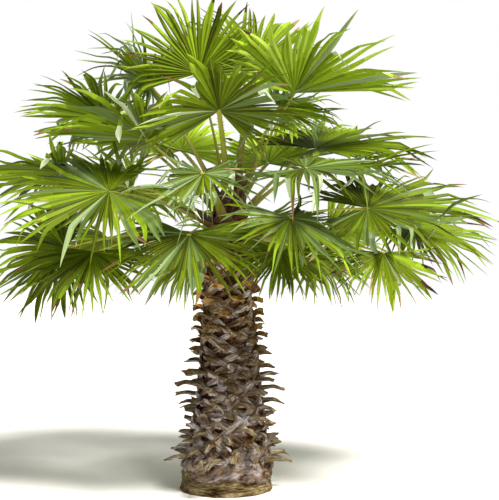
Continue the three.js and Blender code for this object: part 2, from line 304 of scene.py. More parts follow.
barkLooks = {
    # core: the bark seen between the leaf bases; its dark red-brown is partly its own colour and partly
    # painted shade for the gaps
    "core": {
        "along": False, "patch": (14, 14, 9), "streak": (90, 90, 22), "bump": 0.8,
        "colours": [(0.018, 0.007, 0.003), (0.08, 0.032, 0.012), (0.17, 0.09, 0.045)],
    },
    "foot": {
        "along": False, "patch": (7, 7, 24), "streak": (22, 22, 150), "bump": 1.0,
        "colours": [(0.02, 0.009, 0.003), (0.08, 0.048, 0.018), (0.17, 0.125, 0.055), (0.3, 0.245, 0.14)],
    },
    "outer": {
        "along": True, "patch": (16, 7, 1), "streak": (150, 12, 1), "bump": 0.7,
        "colours": [(0.028, 0.011, 0.003), (0.12, 0.078, 0.045), (0.25, 0.222, 0.232), (0.6, 0.56, 0.6)],
        "high": [(0.04, 0.014, 0.002), (0.15, 0.085, 0.032), (0.29, 0.235, 0.17), (0.64, 0.59, 0.57)],
        "from": 0.75, "by": 1.35, "tint": (0.8, 0.64, 0.36),
    },
    "inner": {
        "along": True, "patch": (16, 7, 1), "streak": (150, 12, 1), "bump": 0.7,
        "colours": [(0.026, 0.015, 0.007), (0.12, 0.095, 0.062), (0.25, 0.212, 0.155), (0.46, 0.41, 0.33)],
        "high": [(0.06, 0.025, 0.004), (0.24, 0.12, 0.02), (0.4, 0.22, 0.045), (0.56, 0.36, 0.13)],
        "from": 0.85, "by": 1.15, "tint": (0.7, 0.55, 0.26),
    },
    "cut": {
        "along": False, "patch": (30, 30, 30), "streak": (120, 120, 120), "bump": 0.6,
        "colours": [(0.07, 0.045, 0.022), (0.27, 0.21, 0.14), (0.48, 0.41, 0.31)],
        "high": [(0.22, 0.1, 0.012), (0.5, 0.28, 0.06), (0.74, 0.52, 0.22)],
        "from": 0.8, "by": 1.1, "tint": (0.6, 0.42, 0.22),
    },
    "plate": {
        "along": True, "patch": (18, 9, 1), "streak": (50, 20, 1), "bump": 0.35,
        "colours": [(0.03, 0.015, 0.006), (0.12, 0.085, 0.06), (0.2, 0.17, 0.165), (0.34, 0.3, 0.305)],
        "tint": (0.8, 0.66, 0.42),
    },
    # fibre: dark brown, partly its own colour and partly painted shade where the strands lie in the gaps
    # between the leaf bases
    "fibre": {
        "along": True, "patch": (10, 5, 1), "streak": (220, 6, 1), "bump": 0.8,
        "colours": [(0.02, 0.008, 0.006), (0.075, 0.034, 0.02), (0.2, 0.11, 0.06)],
    },
}
barkMaterials = {name: barkMaterial(f"bark {name}", look) for name, look in barkLooks.items()}


# The trunk's line and radius, as in the solids

trunk = {
    "top": 1.86, "lean": 0.08, "leanPower": 6, "sway": 0.02, "swayHeight": 1.25,
    "profile": [
        (0, 0.276), (0.045, 0.263), (0.11, 0.269), (0.18, 0.264), (0.235, 0.24), (0.4, 0.222),
        (0.56, 0.194), (0.78, 0.178), (1.0, 0.164), (1.16, 0.151), (1.36, 0.146), (1.52, 0.126),
        (1.68, 0.094), (1.8, 0.062), (1.86, 0.034),
    ],
    "inset": 0.03,  # the bark lies this far inside the radius where leaf bases cover it
    "insetSpan": (0.12, 0.3), "footTop": 0.12,
    "sides": 200, "rings": 210, "least": 0.006, "capShare": 0.3, "weld": 0.0004, "smooth": 50,
}
relief = {
    "rough": 0.006, "roughScale": 3, "grit": (0.7, 2.1, 4), "wrap": 2.4, "climb": 9,
    "layer": 0.007, "layerWrap": 0.9, "layerClimb": 60,
    "layerSpan": (0.16, 0.24),  # the heights between which the layers fade out
}
trunkHeights, trunkRadii = zip(*trunk["profile"])


def trunkAxis(z):
    sway = trunk["sway"] * np.sin(math.pi * z / trunk["swayHeight"])
    lean = trunk["lean"] * np.abs(z / trunk["top"]) ** trunk["leanPower"]
    return np.stack([sway + lean, 0 * z, z], axis=-1)


def trunkRadius(z):
    return np.interp(z, trunkHeights, trunkRadii)


def barkRelief(angle, z):  # coarse all over, and flaking in level layers on the foot
    wrap, layerWrap = relief["wrap"], relief["layerWrap"]
    spot = Vector((math.cos(angle) * wrap, math.sin(angle) * wrap, z * relief["climb"]))
    rough = noise.fractal(spot * relief["roughScale"], *relief["grit"])
    layers = noise.noise(Vector((spot.x * layerWrap, spot.y * layerWrap, z * relief["layerClimb"])))
    layered = 1 - float(ease(z, *relief["layerSpan"]))
    return relief["rough"] * rough + layered * relief["layer"] * (layers - 0.5)


def makeTrunkBark():
    bpy.ops.mesh.primitive_grid_add(
        x_subdivisions=trunk["sides"], y_subdivisions=trunk["rings"], size=2, location=(0, 0, 0)
    )
    bark = bpy.context.object
    bark.name = "trunk_bark"
    for vertex in bark.data.vertices:
        angle = math.pi * (vertex.co.x + 1)
        z = trunk["top"] * (vertex.co.y + 1) / 2
        inset = trunk["inset"] * float(ease(z, *trunk["insetSpan"]))
        radius = float(trunkRadius(z)) - inset + barkRelief(angle, z)
        radius *= trunk["capShare"] if z > trunk["top"] - 0.001 else 1
        vertex.co = trunkAxis(z) + max(radius, trunk["least"]) * towards(math.degrees(angle))
    bpy.ops.object.mode_set(mode="EDIT")
    bpy.ops.mesh.select_all(action="SELECT")
    bpy.ops.mesh.remove_doubles(threshold=trunk["weld"])
    bpy.ops.mesh.select_all(action="DESELECT")
    bpy.ops.mesh.select_non_manifold()
    bpy.ops.mesh.edge_face_add()
    bpy.ops.mesh.select_all(action="SELECT")
    bpy.ops.mesh.normals_make_consistent(inside=False)
    bpy.ops.object.mode_set(mode="OBJECT")
    for kind in ("core", "foot"):
        bark.data.materials.append(barkMaterials[kind])
    for face in bark.data.polygons:
        face.material_index = 1 if face.center.z < trunk["footTop"] else 0
    finishPiece(bark, trunk["smooth"])
    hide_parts("trunk")
    return bark


trunkBark = makeTrunkBark()
print("trunk bark", len(trunkBark.data.polygons), "faces")


# Bands that lie on the trunk: the two legs of an old leaf base, the plates and flakes of the foot, fibre

bands = {
    "swell": (0.14, 0.96),  # a band is full in its middle and thin at its ends, as this part of a half wave
    "swellPower": 0.6, "waver": 0.35, "waverScale": 30, "backPower": 2.4, "smooth": 40,
    "rough": 0.16, "roughScale": (3, 0.9, 40),  # across, from row to row, and with the height
}
lowest = 0.002  # bands keep this far above the ground
insideShift = 0.4  # the inner side takes its grain from elsewhere in the pattern


def section(around):  # places across a base or band: out along its back, and back along its inside
    back = np.linspace(-1, 1, around // 2 + 1)
    inside = np.linspace(1, -1, around // 2 + 1)[1:-1]
    return np.concatenate([back, inside]), np.array([1] * len(back) + [-1] * len(inside))


def grainRow(offset, face, along, seed):  # where each point of a ring lies in its material's pattern
    count = len(offset)
    return np.stack([offset + insideShift * (face < 0), np.full(count, along), np.full(count, seed)], axis=1)


def addBand(shape, band, slot):
    count = band["rows"]
    across, face = section(band["around"])
    roughAcross, roughAlong, roughUp = bands["roughScale"]
    z, aside = band["z"], 0.0
    step = band["length"] / (count - 1)
    rings, grain = [], []
    for row in range(count):
        t = row / (count - 1)
        slope = math.radians(mix(*band["slope"], t))
        body = math.sin(math.pi * mix(*bands["swell"], t)) ** bands["swellPower"]
        half = mix(*band["half"], t) * body
        spot = Vector((z * bands["waverScale"], aside * bands["waverScale"], band["azimuth"]))
        offset = across * half * (1 + bands["waver"] * noise.noise(spot))
        heights = np.maximum(lowest, z - offset * math.sin(slope))
        turn = band["azimuth"] + np.degrees((aside - offset * math.cos(slope)) / trunkRadius(z))
        arched = 0.5 * band["thick"] * face * (1 - np.abs(across) ** bands["backPower"])
        lift = mix(*band["lift"], t) + arched * body
        spots = [Vector((c * roughAcross, row * roughAlong, z * roughUp)) for c in across]
        rough = bands["rough"] * band["thick"] * np.array([noise.noise(spot) for spot in spots])
        ring = trunkAxis(heights) + towards(turn) * (trunkRadius(heights) + lift + rough)[:, None]
        rings.append(ring)
        grain.append(grainRow(offset, face, row * step, band["seed"]))
        z -= step * math.cos(slope)
        aside += step * math.sin(slope)
    addRings(shape, rings, grain, lambda row, k: slot, [slot, slot])


# Old leaf bases: a stub that bends out of the trunk, and two legs that part below it and clasp the trunk

boots = {
    "count": 152, "from": 0.2, "to": 1.37, "turn": 137.508, "strayTurn": 16, "strayHeight": 0.03,
    "crowding": 1.45,  # above 1 the bases stand closer low on the trunk
    "upperFrom": 0.38, "upperBy": 0.95,
    # low and high on the trunk
    "longest": (0.17, 0.066), "exitHalf": (0.028, 0.046), "endHalf": (0.015, 0.044),
    "thick": (0.034, 0.03), "endThick": (0.01, 0.019), "droop": (0.5, 0.3),
    "lengthPower": (1.4, 2.4),  # above 1 short bases outnumber long ones
    # spans from which each base picks
    "exitVary": (0.75, 1.2), "endVary": (0.5, 1.4), "thickVary": (0.8, 1.1), "droopVary": (0.2, 1.4),
    "sway": (-0.4, 0.4), "rise": (0.0, 0.4), "roll": (-0.9, 0.9), "arch": (-0.3, 0.35),
    "shortest": 0.035,
    "root": 0.045, "rootHalf": 0.036, "rootLean": 0.1, "rootThick": 0.012,
    "inside": 0.014,  # a base starts this far inside the trunk, and nearly upright
    "turnedBy": 1.15,  # as a share of the root's length
    "droopPower": 1.4, "narrowPower": 0.75, "thinPower": 0.8, "backPower": 2.2,
    "rings": 13, "around": 12, "cutRings": 5,
    "slant": 1.7,  # the old cut slopes, so the upper side falls to below the middle of the end
    "slantFrom": 0.55, "leastThick": 0.002, "ochreFrom": 0.8, "seedStep": 3.7,
    "rough": 0.007, "roughScale": 16, "ragged": 0.02, "raggedScale": 90,
}
legs = {
    "aside": 4,  # degrees from the middle of the base
    "below": 0.006, "rows": 11, "around": 10, "length": (0.12, 0.27), "half": (0.014, 0.04), "narrow": 0.55,
    "slopeFrom": (48, 70), "slopeTo": (60, 94), "thick": (0.012, 0.03), "lift": (-0.014, 0.008),
    "endLift": -0.02,
}


def baseHeight(index):
    return mix(boots["from"], boots["to"], (index / (boots["count"] - 1)) ** boots["crowding"])


def stubRings(stub):
    across, face = section(boots["around"])
    out, side = towards(stub["azimuth"]), towards(stub["azimuth"] + 90)
    start = stub["z"] - boots["root"]
    r, h, before = float(trunkRadius(start)) - boots["inside"], start, 0.0
    rings, grain = [], []
    for s in np.linspace(0, boots["root"] + stub["length"], boots["rings"]):  # s runs along the base
        past = max(0.0, s - boots["root"])
        share = past / stub["length"]
        turn = ease(s, 0, boots["root"] * boots["turnedBy"])
        lean = mix(boots["rootLean"], math.radians(90 - stub["rise"]), turn)
        lean = lean + stub["droop"] * share ** boots["droopPower"]
        r += (s - before) * math.sin(lean)
        h += (s - before) * math.cos(lean)
        before = s
        grown = ease(s, 0, boots["root"])
        half = mix(boots["rootHalf"], stub["exit"], grown)
        half = mix(half, stub["end"], share ** boots["narrowPower"])
        body = mix(boots["rootThick"], stub["thick"], grown)
        body = mix(body, stub["endThick"], share ** boots["thinPower"])
        normal = out * math.cos(lean) - up * math.sin(lean)
        level = side * math.cos(stub["roll"] * share) + normal * math.sin(stub["roll"] * share)
        spot = trunkAxis(h) + out * r + side * stub["sway"] * past
        bend = stub["arch"] * half * across ** 2
        slant = np.where(face < 0, 1 - boots["slant"] * ease(share, boots["slantFrom"], 1), 1)
        offset = 0.5 * body * (1 - np.abs(across) ** boots["backPower"]) * face * slant
        offset = offset + boots["leastThick"] * face - bend
        ring = spot + np.outer(half * across, level) + np.outer(offset, normal)
        rough = np.array([noise.noise_vector(Vector(p * boots["roughScale"])) for p in ring])
        rings.append(ring + boots["rough"] * rough)
        grain.append(grainRow(half * across, face, s, stub["seed"]))
    ahead = unit(rings[-1].mean(0) - rings[-2].mean(0))
    ragged = np.array([noise.noise(Vector(p * boots["raggedScale"])) for p in rings[-1]])
    rings[-1] = rings[-1] + np.outer(boots["ragged"] * ragged, ahead)
    return rings, grain


def stubSlot(row, k, end):  # the outer side, the cut at the end, and the inner side
    if k < boots["around"] // 2:
        return 0
    return end if row >= boots["rings"] - 1 - boots["cutRings"] else 1


def makeLeafBases():
    shape = newShape()
    for index in range(boots["count"]):
        z = baseHeight(index)
        azimuth = index * boots["turn"] + stray(boots["strayTurn"], index, 9)
        upper = float(np.clip((z - boots["upperFrom"]) / (boots["upperBy"] - boots["upperFrom"]), 0, 1))
        power = mix(*boots["lengthPower"], upper)
        stub = {
            "z": z + stray(boots["strayHeight"], index, 10),
            "azimuth": azimuth,
            "length": mix(boots["shortest"], mix(*boots["longest"], upper), vary(index, 1) ** power),
            "rise": math.degrees(math.atan(pick(boots["rise"], index, 2))),
            "sway": pick(boots["sway"], index, 3),
            "roll": pick(boots["roll"], index, 4),
            "exit": mix(*boots["exitHalf"], upper) * pick(boots["exitVary"], index, 5),
            "end": mix(*boots["endHalf"], upper) * pick(boots["endVary"], index, 6),
            "thick": mix(*boots["thick"], upper) * pick(boots["thickVary"], index, 7),
            "endThick": mix(*boots["endThick"], upper),
            "droop": mix(*boots["droop"], upper) * pick(boots["droopVary"], index, 8),
            "arch": pick(boots["arch"], index, 11),
            "seed": index * boots["seedStep"],
        }
        rings, grain = stubRings(stub)
        end = 2 if upper > boots["ochreFrom"] * vary(index, 12) else 1  # old cuts have gone grey
        addRings(shape, rings, grain, lambda row, k: stubSlot(row, k, end), [0, end])
        for sign in (-1, 1):
            salt = 20 + sign
            half = pick(legs["half"], index, salt + 12)
            addBand(shape, {
                **legs,
                "z": stub["z"] - legs["below"],
                "azimuth": azimuth + sign * legs["aside"],
                "slope": (sign * pick(legs["slopeFrom"], index, salt + 9),
                          sign * pick(legs["slopeTo"], index, salt)),
                "length": pick(legs["length"], index, salt + 3),
                "half": (half, half * legs["narrow"]),
                "thick": pick(legs["thick"], index, salt + 15),
                "lift": (pick(legs["lift"], index, salt + 6), legs["endLift"]),
                "seed": index * boots["seedStep"] + sign,
            }, 0)
    materials = [barkMaterials[kind] for kind in ("outer", "inner", "cut")]
    piece = makePiece("leaf_bases", shape, materials, bands["smooth"])
    return piece


leafBases = makeLeafBases()
print("old leaf bases", len(leafBases.data.polygons), "faces")


# The foot's broad plates, its blocks and its thin flakes

footSpans = ("z", "length", "half", "narrow", "lift", "endLift", "slope")
foot = {
    "plates": {
        "count": 24, "slot": 0, "rows": 15, "around": 12, "thick": 0.022, "seed": (500, 2.3),
        "z": (0.22, 0.33), "length": (0.18, 0.32), "half": (0.044, 0.068), "halfPower": 1,
        "narrow": (0.8, 0.8), "lift": (0.004, 0.004), "endLift": (0.006, 0.006),
        "slope": (64, 86), "startShare": 0.7, "bend": 0, "bothWays": True,
        "salts": (33, 34, 32, 0, 0, 0, 31),
    },
    "blocks": {
        "count": 34, "slot": 0, "rows": 9, "around": 8, "thick": 0.016, "seed": (600, 1.7),
        "z": (0.105, 0.2), "length": (0.08, 0.2), "half": (0.018, 0.034), "halfPower": 1,
        "narrow": (0.6, 1.1), "lift": (0.0, 0.008), "endLift": (0.0, 0.008),
        "slope": (68, 112), "startShare": 1, "bend": 0, "bothWays": False,
        "salts": (38, 39, 36, 40, 47, 48, 37),
    },
    "flakes": {
        "count": 260, "slot": 1, "rows": 9, "around": 8, "thick": 0.008, "seed": (700, 1.9),
        "z": (0.012, 0.12), "length": (0.025, 0.09), "half": (0.005, 0.016), "halfPower": 2,
        "narrow": (1, 1), "lift": (-0.003, 0.003), "endLift": (-0.003, 0.004),
        "slope": (78, 102), "startShare": 1, "bend": 6, "bothWays": False,
        "salts": (43, 44, 41, 0, 45, 46, 42),
    },
}


def makeFoot():
    shape = newShape()
    for kind in foot.values():
        for index in range(kind["count"]):
            share = {key: vary(index, salt) for key, salt in zip(footSpans, kind["salts"])}
            half = mix(*kind["half"], share["half"] ** kind["halfPower"])
            slope = mix(*kind["slope"], share["slope"])
            if kind["bothWays"] and index % 2 == 0:
                slope = -slope
            addBand(shape, {
                **kind,
                "z": mix(*kind["z"], share["z"]),
                "azimuth": index * boots["turn"],
                "slope": (slope * kind["startShare"] - kind["bend"], slope + kind["bend"]),
                "length": mix(*kind["length"], share["length"]),
                "half": (half, half * mix(*kind["narrow"], share["narrow"])),
                "lift": (mix(*kind["lift"], share["lift"]), mix(*kind["endLift"], share["endLift"])),
                "seed": kind["seed"][0] + index * kind["seed"][1],
            }, kind["slot"])
    materials = [barkMaterials["plate"], barkMaterials["foot"]]
    piece = makePiece("foot_plates", shape, materials, bands["smooth"])
    return piece


# Fibre: strands in the gaps of the leaf bases, and the brown matting of the crown's heart

strands = {
    "perBase": 5, "below": (0.0, 0.04), "turn": 22, "slopes": 50, "length": (0.04, 0.11),
    "half": (0.003, 0.0015), "thick": 0.003, "lift": -0.02, "endLift": (-0.024, -0.006),
    "rows": 6, "around": 4,
}
matting = {
    "count": 70, "z": (1.42, 1.86), "length": (0.1, 0.24), "slopes": 44, "turn": 20,
    "half": (0.022, 0.014), "thick": 0.01, "lift": (0.004, 0.001), "rows": 9, "around": 8,
}


def makeFibre():
    shape = newShape()
    for index in range(boots["count"] * strands["perBase"]):
        base = index // strands["perBase"]
        z = baseHeight(base)
        slope = stray(strands["slopes"], index, 51)
        addBand(shape, {
            **strands,
            "z": z - pick(strands["below"], index, 52),
            "azimuth": base * boots["turn"] + stray(strands["turn"], index, 53),
            "slope": (slope, -slope),
            "length": pick(strands["length"], index, 54),
            "lift": (strands["lift"], pick(strands["endLift"], index, 55)),
            "seed": 900 + index,
        }, 0)
    for index in range(matting["count"]):
        slope = stray(matting["slopes"], index, 61)
        addBand(shape, {
            **matting,
            "z": pick(matting["z"], index, 62),
            "azimuth": index * boots["turn"],
            "slope": (slope, slope + stray(matting["turn"], index, 63)),
            "length": pick(matting["length"], index, 64),
            "seed": 1700 + index * 1.3,
        }, 0)
    piece = makePiece("trunk_fibre", shape, [barkMaterials["fibre"]], bands["smooth"])
    return piece


footPlates = makeFoot()
trunkFibre = makeFibre()
print("foot and fibre", len(footPlates.data.polygons) + len(trunkFibre.data.polygons), "faces")


# Fronds. rise and stalk place the hub from the heart; dip, turn, roll and fold set the fan there.
# light is painted light and shade: how brightly each fan's leaflets are painted, high where the sun falls on
# and through them, low where the fan lies in shade. waxy, bent and dry deal out its colours and its bent and
# dead tips.

fronds = [
    # azimuth, rise, stalk, reach, dip, turn, roll, fold, light, waxy, bent, dry
    (-103, 52, 0.6, 0.64, 28, 26, 0, -16, 3.0, 0.26, 0.06, 0.06),
    (178, 74, 0.77, 0.56, 76, 92, 0, 4, 3.2, 0.05, 0.0, 0.3),
    (62, 74, 0.83, 0.58, 62, 46, 0, 12, 2.6, 0.05, 0.0, 0.05),
    (2, 60, 0.72, 0.8, 3, -4, -4, 35, 5.1, 0.08, 0.04, 0.05),
    (-160, 31, 0.63, 0.7, 8, -14, 16, 10, 3.0, 0.2, 0.06, 0.06),
    (-152, 1, 0.8, 0.69, -6, -20, -32, 0, 2.7, 0.2, 0.06, 0.08),
    (-105, 9, 0.64, 0.54, -45, -10, 0, 6, 2.0, 0.95, 0.5, 0.02),
    (-112, -20, 0.68, 0.57, -44, 10, 0, -4, 1.9, 0.24, 0.08, 0.04),
    (-176, -17, 1.05, 0.54, -22, 0, -48, 0, 2.2, 0.08, 0.04, 0.1),
    (-160, -21, 0.92, 0.52, -38, 60, 0, 0, 2.6, 0.04, 0.02, 0.1),
    (-48, 13, 0.62, 0.78, 0, 26, 12, 2, 1.5, 0.42, 0.24, 0.05),
    (27, 29, 0.64, 0.78, 10, -14, 18, 5, 2.7, 0.1, 0.06, 0.1),
    (-62, -12, 0.69, 0.56, -34, 14, 0, -4, 1.9, 0.45, 0.12, 0.08),
    (-2, -5, 0.8, 0.84, 3, -4, 26, 0, 2.0, 0.18, 0.16, 0.12),
    (-22, -20, 0.98, 0.42, -46, -58, 0, 0, 2.5, 0.08, 0.04, 0.6),
    (14, -8, 1.16, 0.58, -6, 0, 32, 0, 2.3, 0.1, 0.06, 0.2),
    (-54, -35, 0.56, 0.38, -46, -36, 0, 0, 2.8, 0.05, 0.0, 0.45),
    (152, 50, 0.96, 0.56, 32, 20, 30, 8, 3.3, 0.5, 0.34, 0.06),
    (158, 30, 1.02, 0.6, 4, 10, 24, 8, 3.2, 0.08, 0.04, 0.06),
    (178, 8, 1.05, 0.64, -6, 0, 14, 6, 2.8, 0.08, 0.04, 0.08),
    (72, 20, 0.72, 0.56, 50, 0, -8, 4, 5.0, 0.0, 0.02, 0.06),
    (42, 57, 0.68, 0.44, 6, -30, 34, 0, 4.8, 0.05, 0.04, 0.06),
    (118, 24, 0.82, 0.64, 46, 0, 6, 4, 5.0, 0.0, 0.02, 0.06),
    (46, -12, 0.9, 0.64, -20, 0, -20, 4, 4.6, 0.0, 0.04, 0.08),
    (138, 6, 0.9, 0.64, -12, 0, 24, 4, 4.4, 0.0, 0.04, 0.08),
    (84, -10, 0.9, 0.64, -34, 0, 0, 4, 4.6, 0.0, 0.04, 0.08),
    (52, -24, 0.86, 0.48, -44, 0, 0, 0, 3.2, 0.05, 0.04, 0.12),
    (112, -24, 0.86, 0.46, -44, 0, 0, 0, 3.0, 0.05, 0.04, 0.12),
    (166, -17, 0.84, 0.5, -34, -30, 0, 0, 3.0, 0.05, 0.04, 0.12),
]
limb = {
    "heart": np.array([0.05, 0, 1.75]), "seats": (1.44, 1.8), "rises": (-42, 80), "sink": 0.026, "arch": 0.1,
    "rootHalf": (0.04, 0.024), "tipHalf": (0.014, 0.01), "reachPastHub": 0.012,
    "clasp": 0.7, "claspBy": 0.1,  # a stalk is this much wider where it clasps the heart
    "rings": 20, "around": 12, "flatter": 0.25, "grainRadius": 0.02, "smooth": 50,
}
teeth = {
    "span": (0.12, 0.97), "every": 0.03, "stray": 0.6, "long": (0.008, 0.014), "wide": 0.004,
    "deep": 0.7, "forward": 0.45, "seat": 0.86, "across": 0.3, "along": (0.25, 0.75),
}

blade = {
    "openLeaflets": 50, "fewest": 12, "besideStalk": 27,
    "openSpread": 150, "steepSpread": 106, "steepFrom": 15, "steepBy": 60,
    "joined": (0.36, 0.55), "latestJoint": 0.8,
    "longJoined": (0.56, 0.78), "longShare": 0.26,  # where two leaflets stay together for longer
    "lengths": (0.9, 1.0), "sideShorter": 0.3, "start": 0.012,
    "pleat": 0.72, "taper": 2.1, "wave": 0.07, "ripples": (2, 4), "foldRamp": 50, "droop": 0.09,
    # degrees that free ends stray up and down, turn on themselves, and stray sideways
    "swing": 10, "waveSwing": 12, "twist": 30, "sway": 3.2,
    "turnedBy": (0.6, 0.5),  # a free end has its full twist, and its full swing, this far along
    "bend": 30, "bendAt": (0.6, 0.85), "bendStep": 0.02,
    "bendOver": 0.03,  # the length over which a tip bends
    "joinedSpans": 5, "freeSpans": 9, "columns": (-1, -0.55, -0.13, 0.13, 0.55, 1),
    "thick": 0.0028, "tipThick": 0.5, "smooth": 28,
    "shares": (1, 0.92, 0.84, 0.76, 0.68, 0.6, 0.5, 0.4, 0.3, 0.2, 0.12),
    "leans": (0, 9, -9, 18, -18),  # tried in turn before a leaflet is shortened
}


def frondFrame(number, values):
    azimuth, rise, stalk, reach, dip, turn, roll, fold, light, waxy, bent, dry = values
    hub = limb["heart"] + towards(azimuth, rise) * stalk
    low, high = limb["rises"]
    seatZ = mix(*limb["seats"], (rise - low) / (high - low))
    seat = trunkAxis(seatZ) + towards(azimuth) * (trunkRadius(seatZ) - limb["sink"])
    bow = mix(seat, hub, 0.5) + up * limb["arch"] * stalk
    arrival = unit(hub - bow)
    along = towards(azimuth + turn, dip)
    level = towards(azimuth + turn + 90)
    above = np.cross(along, level)
    left = level * math.cos(math.radians(roll)) + above * math.sin(math.radians(roll))
    steep = (abs(dip) - blade["steepFrom"]) / (blade["steepBy"] - blade["steepFrom"])
    widest = mix(blade["openSpread"], blade["steepSpread"], min(1, max(0, steep)))
    beside = math.degrees(math.atan2(abs(arrival @ left), -arrival @ along))
    return {
        "number": f"{number:02d}", "seed": (number - 1) * 2.3, "hub": hub, "seat": seat, "bow": bow,
        "arrival": arrival, "along": along, "left": left, "normal": np.cross(along, left),
        "reach": reach, "fold": fold,
        "spread": min(widest, beside - blade["besideStalk"]),
        "light": light, "waxy": waxy, "bent": bent, "dry": dry,
        "ripples": pick(blade["ripples"], azimuth, 1), "phase": azimuth,
    }


def fanPoints(frond, angle, distance, lift):
    theta = np.radians(angle)
    fold = np.radians(frond["fold"] * np.minimum(1, np.abs(angle) / blade["foldRamp"]))
    across = np.sin(theta)
    sink = blade["droop"] * frond["reach"] * (distance / frond["reach"]) ** 3
    ahead = distance * np.cos(theta)
    aside = distance * across * np.cos(fold) - lift * np.sign(angle) * np.sin(fold)
    over = distance * np.abs(across) * np.sin(fold) + lift * np.cos(fold)
    return (
        frond["hub"]
        + ahead[..., None] * frond["along"]
        + aside[..., None] * frond["left"]
        + over[..., None] * frond["normal"]
        - sink[..., None] * up
    )


# Stalks: reddish where they clasp the heart, olive along their length and ochre at the hub

stalkLook = {
    "colours": [(0.06, 0.022, 0.012), (0.17, 0.15, 0.02), (0.21, 0.23, 0.02), (0.28, 0.31, 0.024),
                (0.34, 0.35, 0.03), (0.4, 0.37, 0.04)],
    "span": (0.05, 1.0), "blotch": (60, 9, 1), "blotchShare": 0.5, "roughness": 0.5, "shine": 0.2,
}


def stalkMaterial():
    middle = stalkLook["colours"][2]
    material = plainMaterial("leaf stalk", middle, stalkLook["roughness"], stalkLook["shine"])
    tree = material.node_tree
    grain = addGrain(tree)
    along = addNode(tree, "SeparateXYZ", {"Vector": grain}, "Y")
    blotch = addMath(tree, "SUBTRACT", addNoise(tree, grain, stalkLook["blotch"]), 0.5)
    share = addMath(tree, "ADD", along, addMath(tree, "MULTIPLY", blotch, stalkLook["blotchShare"]))
    colour = addRamp(tree, share, stalkLook["colours"], *stalkLook["span"])
    feed(tree, tree.nodes["Principled BSDF"], {"Base Color": colour})
    return material


def stalkLine(frond, t):
    end = frond["hub"] + frond["arrival"] * limb["reachPastHub"]
    point = (1 - t) ** 2 * frond["seat"] + 2 * t * (1 - t) * frond["bow"] + t * t * end
    heading = unit((1 - t) * (frond["bow"] - frond["seat"]) + t * (end - frond["bow"]))
    side = unit(np.cross(up, heading))
    return point, heading, side, np.cross(heading, side)


def stalkHalves(t):
    halves = zip(limb["tipHalf"], limb["rootHalf"])
    wide, deep = (mix(tip, root, (1 - t) ** 3) for tip, root in halves)
    return wide * (1 + limb["clasp"] * float(1 - ease(t, 0.0, limb["claspBy"]))), deep


def addTeeth(shape, frond, length):  # a row of hooked thorns along each margin
    count = int(length * (1 - teeth["span"][0]) / teeth["every"])
    for k in range(2 * count):
        t = mix(*teeth["span"], (k // 2 + vary(k, 71) * teeth["stray"]) / count)
        point, heading, side, above = stalkLine(frond, t)
        edge = side if k % 2 else -side
        base = point + edge * stalkHalves(t)[0] * teeth["seat"]
        tip = base + (edge + teeth["forward"] * heading) * pick(teeth["long"], k, 72)
        along = heading * teeth["wide"]
        over = above * teeth["wide"] * teeth["deep"]
        corners = [base - along, base + over, base + along, base - over, tip]
        around = [3, 2, 1, 0] if k % 2 else [0, 1, 2, 3]
        faces = [(a, b, 4) for a, b in zip(around, around[1:] + around[:1])]
        addFaces(shape, corners, faces + [around[::-1]], [0] * 5)
        shape["grain"].extend([(teeth["across"], mix(*teeth["along"], t), frond["seed"])] * 5)


def makeStalk(frond):
    around = limb["around"]
    angles = np.linspace(0, 2 * math.pi, around, endpoint=False)
    flat = np.where(np.sin(angles) > 0, limb["flatter"], 1.0)  # the upper side is nearly flat
    rings, grain = [], []
    for t in np.linspace(0, 1, limb["rings"]):
        point, _, side, above = stalkLine(frond, t)
        wide, deep = stalkHalves(t)
        spread = np.outer(wide * np.cos(angles), side)
        rings.append(point + spread + np.outer(deep * np.sin(angles) * flat, above))
        grain.append(grainRow(limb["grainRadius"] * angles, 1, t, frond["seed"]))
    shape = newShape()
    addRings(shape, rings, grain, lambda row, k: 0, [0, 0])
    addTeeth(shape, frond, np.linalg.norm(frond["hub"] - frond["seat"]))
    piece = makePiece("leaf_stalk_" + frond["number"], shape, [stalkPaint], limb["smooth"])
    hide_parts("stalk_" + frond["number"])
    return piece


stalkPaint = stalkMaterial()
frames = [frondFrame(number, values) for number, values in enumerate(fronds, 1)]
stalks = [makeStalk(frond) for frond in frames]
print("stalks", len(stalks))


# Fans

leafTones = [
    (0.039, 0.054, 0.002), (0.071, 0.102, 0.003), (0.11, 0.165, 0.004), (0.162, 0.25, 0.006),
    (0.228, 0.36, 0.009), (0.315, 0.49, 0.022), (0.48, 0.66, 0.08),
]
greyTones = [(0.07, 0.115, 0.022), (0.13, 0.2, 0.058), (0.25, 0.34, 0.165), (0.56, 0.65, 0.43)]
ribTones = [(0.095, 0.125, 0.005), (0.2, 0.26, 0.012), (0.38, 0.44, 0.05)]
dryTones = [(0.065, 0.034, 0.018), (0.2, 0.11, 0.045), (0.4, 0.28, 0.13)]

leafKinds = (  # name, tones, roughness and shine
    ("blade", leafTones, 0.55, 0.1), ("waxy blade", greyTones, 0.6, 0.12),
    ("rib", ribTones, 0.55, 0.1), ("dead tip", dryTones, 0.8, 0.1),
)
leafMaterials = [
    plainMaterial(f"{kind} {step}", tone, roughness, shine)
    for kind, tones, roughness, shine in leafKinds for step, tone in enumerate(tones)
]
greyFrom = len(leafTones)
ribFrom = greyFrom + len(greyTones)
dryFrom = ribFrom + len(ribTones)
leafletRows = blade["joinedSpans"] + blade["freeSpans"]
sheetColumns = (0, 2, len(blade["columns"]) - 1)


